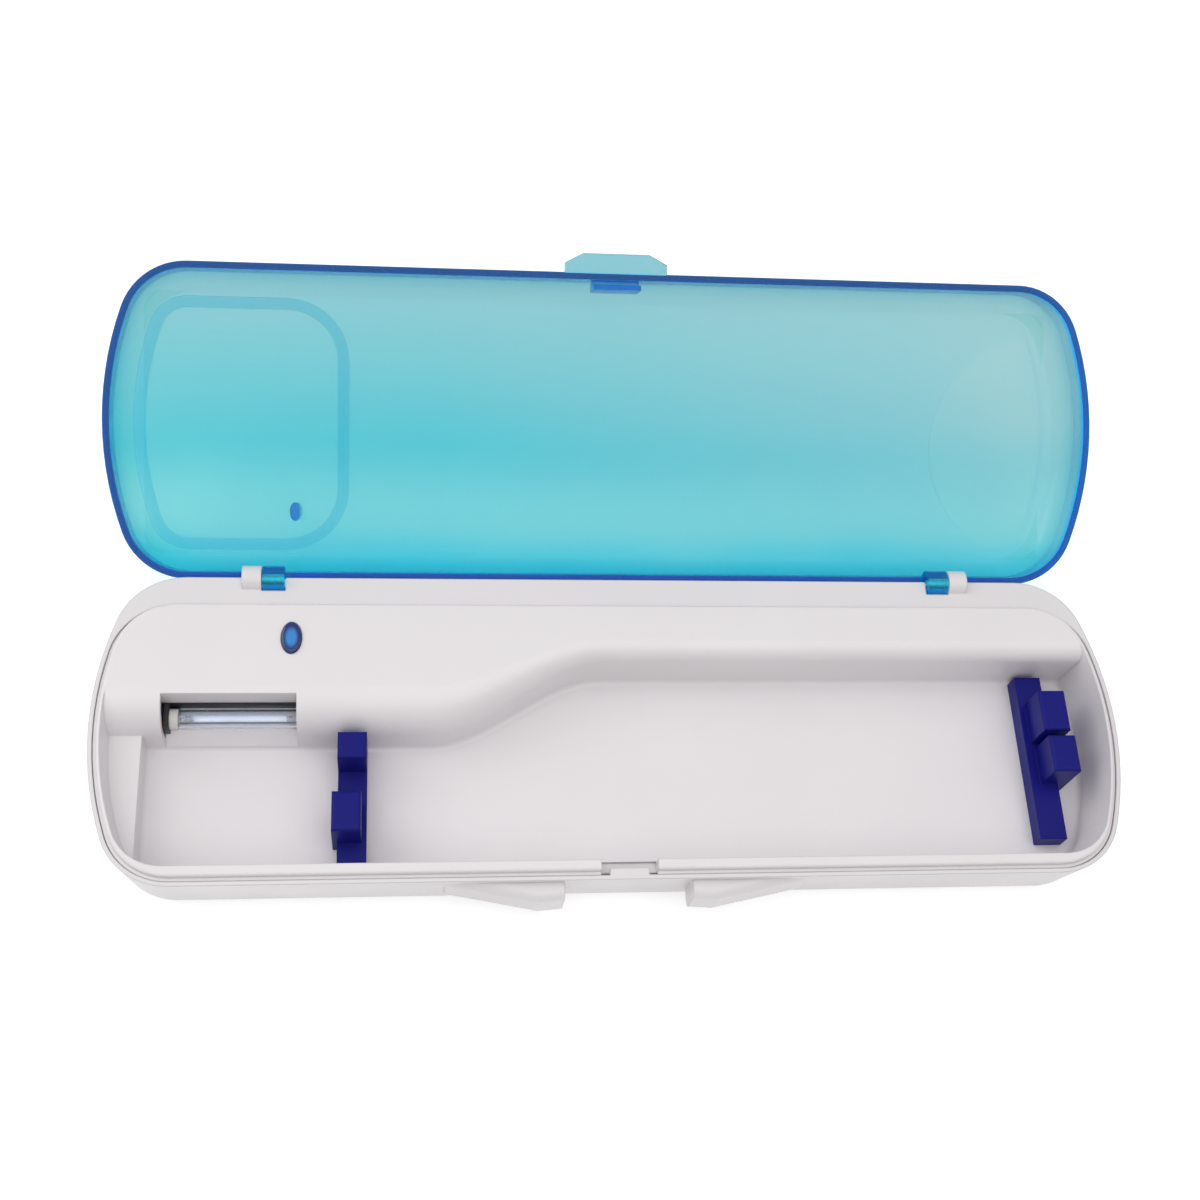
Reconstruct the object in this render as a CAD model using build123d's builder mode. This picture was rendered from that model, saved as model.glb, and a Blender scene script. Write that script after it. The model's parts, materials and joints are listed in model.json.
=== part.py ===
from build123d import *
from math import sqrt
import os

# Toothbrush sanitizer box, millimetres, Z up. X runs along the case, Y towards the hinges.
# The origin is in the middle of the case's flat underside, and the lid stands open.

# Case
case_length = 240.0
case_width = 74.0
base_height = 22.0
end_radius = 80.0
corner_radius = 16.0
base_wall = 1.6
base_floor = 2.2
base_draft = 0.105
base_bottom_round = 5.0
fit_gap = 0.15

# Front flares either side of the thumb recess
flare_outer_x = 41.0
flare_tip_x = 20.0
flare_inner_x = 14.5
flare_depth = 3.9
flare_top = 2.0
flare_height = 11.0
flare_round = 2.2
flare_root = 1.7
flare_nose = 0.4

# Tray
rim_strip = 1.0
rear_strip = 7.2
flange_thickness = 1.8
lip_height = 1.2
lip_inset = 2.0
lip_width = 2.4
end_lip_width = 0.9
groove_depth = 0.4
tray_wall = 1.5
tray_round = 0.6
seat_width = 0.6
tray_depth = 15.0
ledge_length = 10.9
ledge_drop = 6.5
deck_depth_wide = 37.0
deck_depth_narrow = 20.3
wide_deck_length = 76.0
deck_bend_length = 41.0
deck_round_wide = 9.0
deck_round_narrow = 4.0
well_floor_round = 1.2

# Hinge
hinge_drop = 1.0
knuckle_radius = 3.2
knuckle_inset = 36.7
knuckle_length = 4.5
barrel_inset = 42.0
barrel_length = 5.0
hinge_gap = 0.3
pin_radius = 0.9
pin_clearance = 0.05
pin_length = 9.4
open_angle = 151.0

# Lid
lid_height = 15.0
lid_wall = 1.6
lid_round = 7.0
lid_gap = 0.3
bead_edge = 6.6
bead_end_shift = 1.35
bead_inset = 26.5
bead_length = 60.0
bead_width = 2.7
bead_height = 0.8
bead_corner = 15.0
dish_inset = 8.0
dish_centre_y = 3.0
dish_radius = 29.0
dish_depth = 0.15
dish_margin = 0.5
tab_width = 24.7
tab_tip_width = 16.0
tab_reach = 4.6
tab_thickness = 2.0
hook_width = 11.4
hook_thickness = 1.2
hook_drop = 2.4
hook_setback = 3.65
hook_bridge = 3.5
catch_width = 8.8
catch_depth = 1.6
catch_thickness = 1.4
catch_gap = 0.35
catch_root = 0.5
rear_notch_width = 7.6
rear_notch_height = 0.9

# Button
button_inset = 44.1
button_rear = 16.0
button_length = 7.8
button_width = 4.6
button_rise = 0.8
button_travel = 1.2
button_flange = 1.0
button_flange_rim = 1.2
button_clearance = 0.15
button_stem_radius = 1.2
button_round = 0.5
post_length = 4.4
post_width = 2.4
post_gap = 0.3

# Lamp
window_inset = 15.4
window_length = 30.2
window_depth = 7.3
brow_drop = 4.6
brow_thickness = 1.2
sill_drop = 10.0
sill_depth = 2.6
sill_foot_drop = 13.8
sill_thickness = 1.3
lamp_setback = 4.4
lamp_drop = 7.5
lamp_radius = 2.2
lamp_end_gap = 0.5
lamp_cap_length = 2.0
lamp_cap_radius = 2.4
reflector_radius = 2.4
reflector_thickness = 0.3
frame_wall = 1.2

# Driver board
board_inset = 22.0
board_end_gap = 9.0
board_rear = 9.0
board_width = 12.5
board_thickness = 1.6
board_drop = 9.6
board_screw_inset = 4.0
post_radius = 2.5
board_screw_radius = 1.0
board_screw_head_radius = 2.0
board_screw_head = 1.2
board_screw_length = 6.0
switch_size = 6.0
switch_height = 3.5
switch_chamfer = 0.5
plunger_radius = 1.7
plunger_height = 1.3
plunger_sunk = 1.0
plunger_travel = 0.25
spring_radius = 2.35
spring_wire = 0.35
spring_turns = 4
core_inset = 15.9
core_rear = 15.5
core_length = 12.0
core_width = 10.0
core_height = 7.4
core_bar = 2.4
winding_gap = 0.3
winding_bulge = 1.0
winding_overhang = 2.0
capacitor_inset = 12.0
capacitor_radius = 3.1
capacitor_length = 9.0
capacitor_round = 0.4
chip_inset = 7.0
chip_front = 2.9
chip_length = 5.0
chip_width = 4.0
chip_height = 1.5

# Cells
cell_radius = 7.25
cell_body = 49.5
cell_round = 0.6
cell_nub = 1.0
cell_nub_radius = 2.75
cell_inset = 134.0
cell_rear = 11.3
cell_clearance = 0.15
contact_thickness = 0.4
contact_width = 11.0
contact_height = 9.0
contact_gap = 0.05
contact_spring_length = 3.0
contact_spring_radius = 3.2
contact_spring_wire = 0.7
contact_spring_turns = 2
compartment_wall = 1.5
compartment_wall_height = 12.0

# Battery door
door_inset = 29.8
door_length = 107.7
door_depth = 20.0
door_top = 10.5
door_gap = 0.25
tongue_width = 1.2
tongue_thickness = 0.9
tongue_gap = 0.3
tongue_setback = 2.5
tongue_length = 9.0

# Case screws
front_screw = (7.9, -16.0)
left_screw_insets = (13.5, 16.0)
middle_screw_insets = (5.7, 10.8)
right_screw_insets = (12.5, 13.4)
boss_radius = 2.4
boss_foot = 17.5
boss_hole_radius = 1.25
boss_hole_depth = 8.5
case_screw_radius = 1.2
case_screw_head_radius = 2.5
case_screw_head = 1.5
case_screw_grip = 7.0
counterbore_radius = 2.8
counterbore_depth = 1.8
pillar_radius = 3.4

# Clips, with each jaw's front and rear along Y and its shift along X
clip_width = 6.6
clip_bar_height = 5.0
clip_height = 14.6
clip_round = 0.7
clip_peg_radius = 1.6
clip_peg_length = 1.3
clip_peg_inset = 5.0
clip_peg_clearance = 0.05
neck_clip_inset = 58.3
neck_clip_front = 7.2
neck_clip_rear_gap = 1.2
neck_front_jaw_start = 5.0
neck_front_jaw_length = 9.3
neck_front_jaw_shift = -1.1
neck_rear_jaw_gap = 1.4
neck_rear_jaw_length = 6.4
handle_clip_inset = 16.0
handle_clip_front = 11.0
handle_clip_rear_gap = 1.1
handle_front_jaw_gap = 19.8
handle_front_jaw_length = 9.1
handle_front_jaw_shift = 2.4
handle_rear_jaw_gap = 8.3
handle_rear_jaw_length = 10.2
handle_rear_jaw_shift = 1.6

# Leads
lead_radius = 0.6
lead_bend = 1.2
lead_inset = 1.5
lead_offsets = (3.0, 5.0)
lead_spacing = 2.0
lamp_lead_insets = (8.0, -3.0)

# Levels worked out from the sizes above
parting = base_height
half_width = case_width / 2
half_length = case_length / 2
tray_rear = half_width - rear_strip
well_left_x = ledge_length - half_length
deck_front_wide = half_width - deck_depth_wide
deck_front_narrow = half_width - deck_depth_narrow
deck_bend_start = wide_deck_length - half_length
deck_bend_end = deck_bend_start + deck_bend_length
knuckle_near_x = half_length - knuckle_inset
barrel_near_x = half_length - barrel_inset
bead_centre_x = bead_inset - half_length
bead_depth = case_width - 2 * bead_edge
dish_centre_x = half_length - dish_inset
button_x = button_inset - half_length
button_y = half_width - button_rear
window_left_x = window_inset - half_length
window_right_x = window_left_x + window_length
window_rear_y = deck_front_wide + window_depth
lamp_y = deck_front_wide + lamp_setback
door_right_x = half_length - door_inset
door_left_x = door_right_x - door_length
door_front_y = half_width - door_depth
tongue_front_y = door_front_y + tongue_setback
tongue_rear_y = tongue_front_y + tongue_length
board_left_x = board_inset - half_length
board_right_x = door_left_x - board_end_gap
board_rear_y = half_width - board_rear
board_front_y = board_rear_y - board_width
core_x = board_right_x - core_inset
core_y = half_width - core_rear
capacitor_x = board_left_x + capacitor_inset
chip_x = board_right_x - chip_inset
chip_y = board_front_y + chip_front
cell_left_x = half_length - cell_inset
cell_y = half_width - cell_rear
case_screw_places = [
    (front_screw[0] - half_length, front_screw[1]),
    (left_screw_insets[0] - half_length, half_width - left_screw_insets[1]),
    (door_left_x - middle_screw_insets[0], half_width - middle_screw_insets[1]),
    (half_length - right_screw_insets[0], half_width - right_screw_insets[1]),
]
neck_clip_x = neck_clip_inset - half_length
neck_clip_front_y = neck_clip_front - half_width
neck_clip_rear_y = deck_front_wide - neck_clip_rear_gap
neck_front_jaw_y = neck_clip_front_y + neck_front_jaw_start
neck_rear_jaw_y = deck_front_wide - neck_rear_jaw_gap - neck_rear_jaw_length
neck_clip_jaws = [
    (neck_front_jaw_y, neck_front_jaw_y + neck_front_jaw_length, neck_front_jaw_shift),
    (neck_rear_jaw_y, neck_rear_jaw_y + neck_rear_jaw_length, 0),
]
handle_clip_x = half_length - handle_clip_inset
handle_clip_front_y = handle_clip_front - half_width
handle_clip_rear_y = deck_front_narrow - handle_clip_rear_gap
handle_front_jaw_y = deck_front_narrow - handle_front_jaw_gap - handle_front_jaw_length
handle_rear_jaw_y = deck_front_narrow - handle_rear_jaw_gap - handle_rear_jaw_length
handle_clip_jaws = [
    (handle_front_jaw_y, handle_front_jaw_y + handle_front_jaw_length, handle_front_jaw_shift),
    (handle_rear_jaw_y, handle_rear_jaw_y + handle_rear_jaw_length, handle_rear_jaw_shift),
]
deck_top = parting + lip_height
deck_under = deck_top - tray_wall
tray_floor = parting - tray_depth
tray_under = tray_floor - tray_wall
flange_inset = rim_strip + fit_gap
well_inset = lip_inset + lip_width
end_well_inset = lip_inset + end_lip_width
core_inset = rim_strip + seat_width + 2 * fit_gap
tray_rear_depth = tray_rear + flange_inset
hinge_y = half_width
hinge_z = parting - hinge_drop
barrel_room = knuckle_radius + hinge_gap
bore_radius = pin_radius + pin_clearance
lid_bottom = parting + lid_gap
lid_top = lid_bottom + lid_height
lid_ceiling = lid_top - lid_wall
board_top = parting - board_drop
board_under = board_top - board_thickness
lamp_z = parting - lamp_drop
brow_bottom = parting - brow_drop
sill_top = parting - sill_drop
sill_rear_y = deck_front_wide + sill_depth + sill_thickness
cell_z = base_floor + cell_clearance + cell_radius
cell_pitch = cell_body + cell_nub
cell_right_x = cell_left_x + 2 * cell_pitch
boss_level = parting - boss_foot
plunger_top = board_top + switch_height + plunger_height

os.makedirs("parts", exist_ok=True)


def write(part, name):
    """Label a finished piece and write its file."""
    part.label = name
    export_step(part, f"parts/{name}.step")


def case_outline(inset, rear_depth=half_width, end_shift=0):
    """Plan outline of the case: two straight sides and two bowed ends, drawn in by inset."""
    front = inset - half_width
    rear = rear_depth - inset
    bow = end_radius - inset
    bow_centre = half_length - end_radius + end_shift
    tip_x = bow_centre + bow
    front_x = bow_centre + sqrt(bow**2 - front**2)
    rear_x = bow_centre + sqrt(bow**2 - rear**2)
    with BuildSketch() as plan:
        with BuildLine():
            Line((-front_x, front), (front_x, front))
            ThreePointArc((front_x, front), (tip_x, 0), (rear_x, rear))
            Line((rear_x, rear), (-rear_x, rear))
            ThreePointArc((-rear_x, rear), (-tip_x, 0), (-front_x, front))
        make_face()
        fillet(plan.vertices(), corner_radius - inset)
    return plan.sketch


def tapered(inset, low, high, rear_depth=half_width, end_shift=0):
    """Solid inside the case's drafted wall, inset from the outer face, between two levels."""
    with BuildPart() as block:
        for level in (low, high):
            with BuildSketch(Plane.XY.offset(level)):
                level_inset = inset + base_draft * (parting - level)
                add(case_outline(level_inset, rear_depth, end_shift))
        loft(ruled=True)
    return block.part


def rounded(inset, low, high, radius):
    """The same solid with its lower edge rounded."""
    with BuildPart() as block:
        add(tapered(inset, low, high))
        fillet(block.faces().sort_by(Axis.Z)[0].edges(), radius)
    return block.part


def base_skin():
    """The base's plain shell: drafted walls and a rounded bottom, open at the top."""
    with BuildPart() as skin:
        add(rounded(0, 0, parting, base_bottom_round))
        hollow = rounded(base_wall, base_floor, parting + 1, base_bottom_round - base_wall)
        add(hollow, mode=Mode.SUBTRACT)
    return skin.part


def bend(x):
    """0 along the wide deck, 1 along the narrow deck, and a smooth step between."""
    t = min(max((x - deck_bend_start) / (deck_bend_end - deck_bend_start), 0), 1)
    return t * t * (3 - 2 * t)


def deck_section(x, skin):
    """Section of the deck across the case at x, drawn in by skin, with its rounded front edge."""
    front = deck_front_wide + (deck_front_narrow - deck_front_wide) * bend(x) + skin
    radius = deck_round_wide + (deck_round_narrow - deck_round_wide) * bend(x) - skin
    top = deck_top - skin
    rear = case_width
    low = -case_width
    slant = radius * (1 - sqrt(0.5))
    with BuildSketch(Plane.YZ.offset(x)) as section:
        with BuildLine():
            Line((rear, top), (front + radius, top))
            ThreePointArc((front + radius, top), (front + slant, top - slant), (front, top - radius))
            Line((front, top - radius), (front, low))
            Line((front, low), (rear, low))
            Line((rear, low), (rear, top))
        make_face()
    return section.sketch


def deck_block(skin):
    """Everything behind and under the deck's front face, drawn in by skin."""
    stations = 9
    step = (deck_bend_end - deck_bend_start) / (stations - 1)
    with BuildPart() as block:
        extrude(deck_section(-case_length, skin), amount=case_length + deck_bend_start)
        extrude(deck_section(deck_bend_end, skin), amount=case_length)
        loft([deck_section(deck_bend_start + step * i, skin) for i in range(stations)])
    return block.part


def span(low, high, mode=Mode.ADD):
    """Box between two corners, joined to or cut from the piece that is being built."""
    size = [high[i] - low[i] for i in range(3)]
    middle = tuple((high[i] + low[i]) / 2 for i in range(3))
    with Locations(middle):
        Box(*size, mode=mode)


def rod(x, y, z, radius, length, mode=Mode.ADD):
    """Round bar along X from x, joined to or cut from the piece that is being built."""
    with Locations((x + length / 2, y, z)):
        Cylinder(radius, length, rotation=(0, 90, 0), mode=mode)


def side_start(side, near_x, length):
    """Left end of a length along X that begins near_x from the middle, on one side or the other."""
    return near_x if side > 0 else -near_x - length


# Base shell
door_box = ((door_left_x, door_front_y, -1), (door_right_x, case_width, parting - door_top))
rib_left_x = door_left_x - compartment_wall - tongue_width - tongue_gap
rib_right_x = door_right_x + tongue_width + tongue_gap
board_hole_y = board_rear_y - board_screw_inset
board_holes = (
    (board_left_x + board_screw_inset, board_hole_y),
    (board_right_x - board_screw_inset, board_hole_y),
)

with BuildPart() as ribs:
    for wall_x in (rib_left_x, rib_right_x):
        rib_low = (wall_x, deck_front_narrow + tray_wall + fit_gap, 0)
        rib_high = (wall_x + compartment_wall, half_width, base_floor + compartment_wall_height)
        span(rib_low, rib_high)
    with BuildSketch(Plane.XY.offset(base_floor / 2)):
        with Locations(*board_holes):
            Circle(post_radius)
    extrude(amount=board_under - base_floor / 2)
    with BuildSketch():
        with Locations(*case_screw_places):
            Circle(pillar_radius)
    extrude(amount=boss_level)
    add(rounded(0, 0, parting, base_bottom_round), mode=Mode.INTERSECT)

with BuildPart() as base_shell:
    add(base_skin())
    span(*door_box, mode=Mode.SUBTRACT)
    add(ribs.part)

    # Rim with the rebate that the tray's flange drops into
    with BuildSketch(Plane.XY.offset(parting)):
        add(case_outline(base_wall / 2))
    extrude(amount=-2 * flange_thickness)
    with BuildSketch(Plane.XY.offset(parting - flange_thickness)):
        add(case_outline(rim_strip, tray_rear_depth))
    extrude(amount=2 * flange_thickness, mode=Mode.SUBTRACT)
    with BuildSketch(Plane.XY.offset(parting - 2 * flange_thickness - 1)):
        add(case_outline(rim_strip + seat_width, tray_rear_depth))
    extrude(amount=2 * flange_thickness, mode=Mode.SUBTRACT)

    # Front flares
    with BuildPart(mode=Mode.PRIVATE) as flares:
        for side in (-1, 1):
            with BuildSketch(Plane.XY.offset(parting - flare_top)):
                with BuildLine():
                    Polyline(
                        (side * flare_outer_x, -half_width + flare_root),
                        (side * flare_outer_x, -half_width + flare_nose),
                        (side * flare_tip_x, -half_width - flare_depth),
                        (side * flare_inner_x, -half_width - flare_depth + flare_nose),
                        (side * flare_inner_x, -half_width + flare_root),
                        close=True,
                    )
                make_face()
            extrude(amount=-flare_height)
        level_edges = flares.faces().filter_by(Axis.Z).edges()
        slanted_edges = level_edges.filter_by(Axis.X, reverse=True).filter_by(Axis.Y, reverse=True)
        fillet(slanted_edges, flare_round)
    add(flares.part)

    # Latch catch on the inner face of the front strip
    catch_y = -half_width + rim_strip
    catch_low = (-catch_width / 2, catch_y - catch_root, parting - catch_thickness)
    catch_high = (catch_width / 2, catch_y + catch_depth, parting)
    span(catch_low, catch_high)

    # Hinge knuckles, the notches beside them for the lid's barrels, and the pin bores
    for side in (-1, 1):
        knuckle_x = side_start(side, knuckle_near_x, knuckle_length)
        notch_length = barrel_length + 2 * hinge_gap
        notch_x = side_start(side, barrel_near_x - hinge_gap, notch_length)
        bore_x = side_start(side, barrel_near_x, pin_length + fit_gap)
        rod(knuckle_x, hinge_y, hinge_z, knuckle_radius, knuckle_length)
        rod(notch_x, hinge_y, hinge_z, barrel_room, notch_length, mode=Mode.SUBTRACT)
        rod(bore_x, hinge_y, hinge_z, bore_radius, pin_length + fit_gap, mode=Mode.SUBTRACT)

    # Screw holes from below
    with BuildSketch(Plane.XY):
        with Locations(*case_screw_places):
            Circle(counterbore_radius)
    extrude(amount=counterbore_depth, mode=Mode.SUBTRACT)
    with BuildSketch(Plane.XY):
        with Locations(*case_screw_places):
            Circle(boss_hole_radius)
    extrude(amount=parting / 2, mode=Mode.SUBTRACT)
    with BuildSketch(Plane.XY.offset(board_under)):
        with Locations(*board_holes):
            Circle(board_screw_radius + pin_clearance)
    extrude(amount=-board_screw_length, mode=Mode.SUBTRACT)

    # Grooves for the battery door's tongues
    groove_low = base_floor / 2 - tongue_thickness / 2 - tongue_gap
    groove_high = groove_low + tongue_thickness + 2 * tongue_gap
    groove_left = door_left_x - tongue_width - tongue_gap + door_gap
    groove_right = door_right_x + tongue_width + tongue_gap - door_gap
    groove_start = (groove_left, tongue_front_y - tongue_gap, groove_low)
    groove_end = (groove_right, case_width, groove_high)
    span(groove_start, groove_end, mode=Mode.SUBTRACT)
write(base_shell.part, "base_shell")

# Battery door, cut from the same shell, with a tongue along each side
with BuildPart() as battery_door:
    add(base_skin())
    door_low = (door_left_x + door_gap, door_front_y + door_gap, -1)
    door_high = (door_right_x - door_gap, case_width, parting - door_top - door_gap)
    span(door_low, door_high, mode=Mode.INTERSECT)
    tongue_reach = tongue_width - door_gap
    tongue_z = groove_low + tongue_gap
    tongue_low = (door_left_x - tongue_reach, tongue_front_y, tongue_z)
    tongue_high = (door_right_x + tongue_reach, tongue_rear_y, tongue_z + tongue_thickness)
    span(tongue_low, tongue_high)
write(battery_door.part, "battery_door")

# Tray
with BuildPart() as well:
    end_shift = well_inset - end_well_inset
    add(tapered(well_inset, tray_floor, deck_top + 1, tray_rear_depth, end_shift))
    ledge_low = (-case_length, -case_width, -1)
    ledge_high = (well_left_x, case_width, parting - ledge_drop)
    span(ledge_low, ledge_high, mode=Mode.SUBTRACT)
    add(deck_block(0), mode=Mode.SUBTRACT)
    fillet(well.faces().sort_by(Axis.Z)[0].edges(), well_floor_round)

with BuildPart() as tray_underside:
    add(deck_block(tray_wall))
    under_ledge_high = (well_left_x - tray_wall, case_width, parting - ledge_drop - tray_wall)
    span(ledge_low, under_ledge_high)
    under_inset = core_inset + tray_wall
    add(tapered(under_inset, 0, deck_under, tray_rear_depth), mode=Mode.INTERSECT)
    # The deck has no skirt at the rear, where the cells and the board lie
    rear_low = (corner_radius - half_length, deck_front_narrow + tray_wall, tray_under - tray_wall)
    rear_high = (half_length - corner_radius, case_width, parting - flange_thickness)
    span(rear_low, rear_high)

with BuildPart() as tray:
    with BuildSketch(Plane.XY.offset(parting - flange_thickness)):
        add(case_outline(lip_inset, tray_rear_depth + lip_inset - flange_inset))
    extrude(amount=flange_thickness + lip_height)
    fillet(tray.faces().sort_by(Axis.Z)[-1].edges(), tray_round)
    with BuildSketch(Plane.XY.offset(parting - flange_thickness)):
        add(case_outline(flange_inset, tray_rear_depth))
    extrude(amount=flange_thickness - groove_depth)
    add(tapered(core_inset, tray_under, parting - flange_thickness, tray_rear_depth))
    add(well.part, mode=Mode.SUBTRACT)
    add(tray_underside.part, mode=Mode.SUBTRACT)

    # Lamp window, with a brow under its rear edge and a sloped sill
    window_low = (window_left_x, -case_width, parting - sill_foot_drop)
    window_high = (window_right_x, window_rear_y, case_width)
    with BuildPart(mode=Mode.PRIVATE) as window:
        span(window_low, window_high)
        front_low = (-case_length, -case_width, -1)
        front_high = (case_length, deck_front_wide - 1, case_width)
        span(front_low, front_high, mode=Mode.SUBTRACT)
    add(window.part, mode=Mode.SUBTRACT)
    brow_low = (window_left_x - tray_wall, window_rear_y, brow_bottom)
    brow_high = (window_right_x + tray_wall, window_rear_y + brow_thickness, deck_top - tray_wall / 2)
    span(brow_low, brow_high)
    with BuildSketch(Plane.YZ.offset(window_left_x)):
        with BuildLine():
            Polyline(
                (deck_front_wide, parting - sill_foot_drop),
                (deck_front_wide + sill_depth, sill_top),
                (sill_rear_y, sill_top),
                (deck_front_wide + tray_wall, parting - sill_foot_drop),
                (deck_front_wide + tray_wall, parting - sill_foot_drop - tray_wall / 2),
                (deck_front_wide + tray_wall / 2, parting - sill_foot_drop - tray_wall / 2),
                close=True,
            )
        make_face()
    extrude(amount=window_length)

    # Button hole
    with BuildSketch(Plane.XY.offset(deck_top)):
        with Locations((button_x, button_y)):
            Ellipse(button_width / 2 + button_clearance, button_length / 2 + button_clearance)
    extrude(amount=-2 * tray_wall, mode=Mode.SUBTRACT)

    # Notch for the lid's hook
    notch_half = hook_width / 2 + 2 * catch_gap
    notch_low = (-notch_half, -case_width, parting - hook_drop - 1)
    notch_high = (notch_half, -half_width + rim_strip + hook_setback, case_width)
    span(notch_low, notch_high, mode=Mode.SUBTRACT)

    # Screw bosses, from the deck or the ledge down to the base's pillars
    for boss_x, boss_y in case_screw_places:
        boss_top = deck_under if boss_y > 0 else parting - ledge_drop - tray_wall
        with BuildSketch(Plane.XY.offset(boss_level)):
            with Locations((boss_x, boss_y)):
                Circle(boss_radius)
        extrude(amount=boss_top - boss_level + tray_wall / 2)
    with BuildSketch(Plane.XY.offset(boss_level)):
        with Locations(*case_screw_places):
            Circle(boss_hole_radius)
    extrude(amount=boss_hole_depth, mode=Mode.SUBTRACT)

    # Sockets for the clips' pegs
    with BuildSketch(Plane.XY.offset(tray_under)):
        for clip_x, front_y, rear_y in (
            (neck_clip_x, neck_clip_front_y, neck_clip_rear_y),
            (handle_clip_x, handle_clip_front_y, handle_clip_rear_y),
        ):
            for peg_y in (front_y + clip_peg_inset, rear_y - clip_peg_inset):
                with Locations((clip_x, peg_y)):
                    Circle(clip_peg_radius + clip_peg_clearance)
    extrude(amount=2 * tray_wall, mode=Mode.SUBTRACT)
write(tray.part, "tray")


def brush_clip(x, front_y, rear_y, jaws):
    """Low bar across the well, with upright jaws and two pegs into the well's floor."""
    with BuildPart() as clip:
        low = (x - clip_width / 2, front_y, tray_floor)
        high = (x + clip_width / 2, rear_y, tray_floor + clip_bar_height)
        span(low, high)
        for jaw_front, jaw_rear, shift in jaws:
            jaw_low = (x - clip_width / 2 + shift, jaw_front, tray_floor)
            jaw_high = (x + clip_width / 2 + shift, jaw_rear, tray_floor + clip_height)
            span(jaw_low, jaw_high)
        tops = clip.faces().filter_by(Axis.Z).group_by(Axis.Z)[-1]
        fillet(tops.edges(), clip_round)
        with BuildSketch(Plane.XY.offset(tray_floor)):
            for peg_y in (front_y + clip_peg_inset, rear_y - clip_peg_inset):
                with Locations((x, peg_y)):
                    Circle(clip_peg_radius)
        extrude(amount=-clip_peg_length)
    return clip.part


neck_clip = brush_clip(neck_clip_x, neck_clip_front_y, neck_clip_rear_y, neck_clip_jaws)
write(neck_clip, "brush_clip_neck")
handle_clip = brush_clip(handle_clip_x, handle_clip_front_y, handle_clip_rear_y, handle_clip_jaws)
write(handle_clip, "brush_clip_handle")

# Case screws
with BuildPart() as case_screws:
    with BuildSketch(Plane.XY.offset(counterbore_depth)):
        with Locations(*case_screw_places):
            Circle(case_screw_head_radius)
    extrude(amount=-case_screw_head)
    with BuildSketch(Plane.XY.offset(counterbore_depth)):
        with Locations(*case_screw_places):
            Circle(case_screw_radius)
    extrude(amount=boss_level + case_screw_grip - counterbore_depth)
write(case_screws.part, "case_screws")


def lid_shell(inset, low, high, radius):
    """Solid of the lid's outer or inner form, inset from the case outline, with rounded top edges."""
    with BuildPart() as form:
        with BuildSketch(Plane.XY.offset(low)):
            add(case_outline(inset))
        extrude(amount=high - low)
        fillet(form.faces().sort_by(Axis.Z)[-1].edges(), radius)
    return form.part


def bead_face(shrink):
    """Area inside the bead: it follows the case's left end and has round corners on its right."""
    with BuildSketch() as face:
        add(case_outline(bead_edge + shrink, end_shift=bead_end_shift))
        with Locations((bead_centre_x, 0)):
            RectangleRounded(
                bead_length - 2 * shrink,
                bead_depth - 2 * shrink,
                bead_corner - shrink,
                mode=Mode.INTERSECT,
            )
    return face.sketch


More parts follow.
